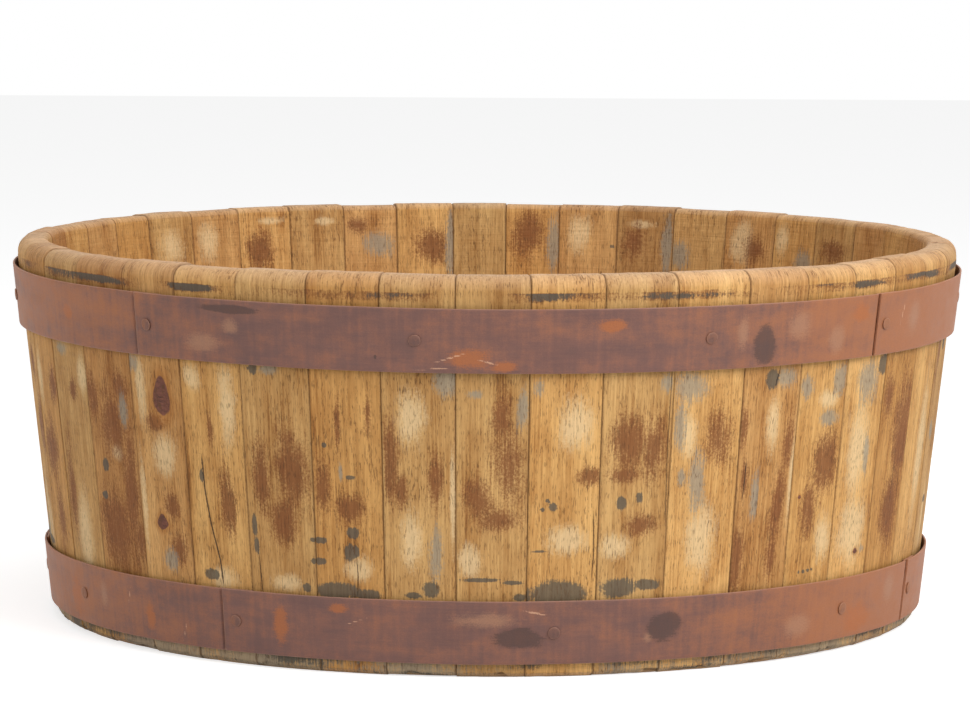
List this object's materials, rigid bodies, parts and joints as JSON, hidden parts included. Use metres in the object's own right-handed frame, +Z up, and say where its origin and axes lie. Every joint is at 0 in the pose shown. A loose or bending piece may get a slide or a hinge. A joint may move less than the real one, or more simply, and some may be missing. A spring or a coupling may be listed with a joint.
{
  "type": "wooden wash tub",
  "caption": "Round, shallow coopered wash tub: tapered wooden staves, a jointed wooden bottom and flat nailed iron hoops, open at the top.",
  "frame": {"origin": "centre of the tub's foot, on the surface that it stands on", "axes": "+Z up along the tub's axis, out of its mouth; -Y is the side that the picture shows; +X to the right there"},
  "size_m": [0.805, 0.8048, 0.319],
  "materials": {
    "stave_wood": "dry, worn bare wood",
    "head_wood": "dry, worn bare wood",
    "dowel_wood": "bare wood",
    "hoop_iron": "matte, evenly rusted iron",
    "nail_iron": "matte, rusted iron"
  },
  "bodies": {
    "root": {"stave_01": "stave_wood", "stave_02": "stave_wood", "stave_03": "stave_wood", "stave_04": "stave_wood", "stave_05": "stave_wood", "stave_06": "stave_wood", "stave_07": "stave_wood", "stave_08": "stave_wood", "stave_09": "stave_wood", "stave_10": "stave_wood", "stave_11": "stave_wood", "stave_12": "stave_wood", "stave_13": "stave_wood", "stave_14": "stave_wood", "stave_15": "stave_wood", "stave_16": "stave_wood", "stave_17": "stave_wood", "stave_18": "stave_wood", "stave_19": "stave_wood", "stave_20": "stave_wood", "stave_21": "stave_wood", "stave_22": "stave_wood", "stave_23": "stave_wood", "stave_24": "stave_wood", "stave_25": "stave_wood", "stave_26": "stave_wood", "stave_27": "stave_wood", "stave_28": "stave_wood", "stave_29": "stave_wood", "stave_30": "stave_wood", "stave_31": "stave_wood", "stave_32": "stave_wood", "stave_33": "stave_wood", "stave_34": "stave_wood", "stave_35": "stave_wood", "stave_36": "stave_wood", "stave_37": "stave_wood", "stave_38": "stave_wood", "stave_39": "stave_wood", "stave_40": "stave_wood", "stave_41": "stave_wood", "stave_42": "stave_wood", "head_board_1": "head_wood", "head_board_2": "head_wood", "head_board_3": "head_wood", "head_board_4": "head_wood", "head_board_5": "head_wood", "head_board_6": "head_wood", "head_dowels": "dowel_wood", "upper_hoop_strip_1": "hoop_iron", "upper_hoop_strip_2": "hoop_iron", "upper_hoop_strip_3": "hoop_iron", "upper_hoop_strip_4": "hoop_iron", "lower_hoop_strip_1": "hoop_iron", "lower_hoop_strip_2": "hoop_iron", "lower_hoop_strip_3": "hoop_iron", "lower_hoop_strip_4": "hoop_iron", "upper_hoop_nails": "nail_iron", "lower_hoop_nails": "nail_iron"}
  },
  "joints": []
}
